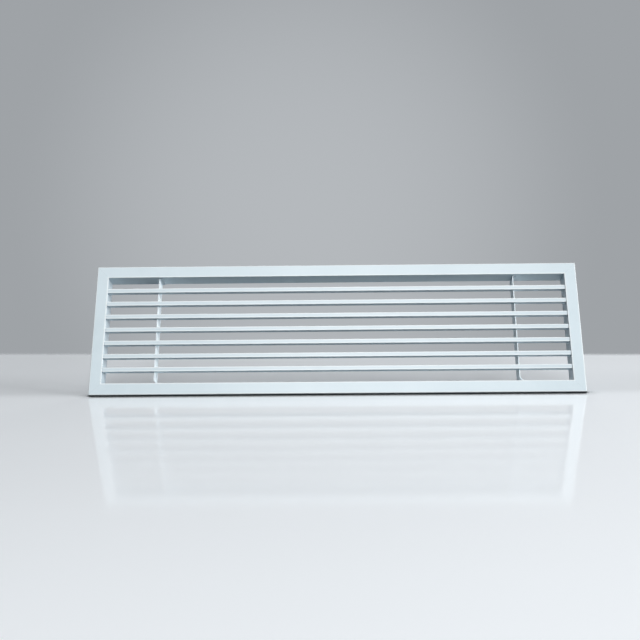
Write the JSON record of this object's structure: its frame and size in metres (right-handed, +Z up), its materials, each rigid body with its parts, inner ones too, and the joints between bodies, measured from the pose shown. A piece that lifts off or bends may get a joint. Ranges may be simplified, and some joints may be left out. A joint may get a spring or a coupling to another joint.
{
  "type": "linear bar grille",
  "caption": "Rectangular flanged air grille with fixed horizontal bars held in notched mullions inside a shallow neck, for a wall or ceiling air opening.",
  "frame": {"origin": "centre of the air opening, in the plane of the wall surface that the flange seats on", "axes": "+X along the grille, +Z up across the bars, +Y into the wall along the neck; the face looks along -Y"},
  "size_m": [0.625, 0.024, 0.174],
  "materials": {
    "powder_coat": "satin powder coat",
    "key_metal": "mill finish"
  },
  "bodies": {
    "root": {"top_rail": "powder_coat", "bottom_rail": "powder_coat", "left_rail": "powder_coat", "right_rail": "powder_coat", "bar_1": "powder_coat", "bar_2": "powder_coat", "bar_3": "powder_coat", "bar_4": "powder_coat", "bar_5": "powder_coat", "bar_6": "powder_coat", "bar_7": "powder_coat", "mullion_left": "powder_coat", "mullion_right": "powder_coat", "key_top_left": "key_metal", "key_top_right": "key_metal", "key_bottom_left": "key_metal", "key_bottom_right": "key_metal"}
  },
  "joints": []
}
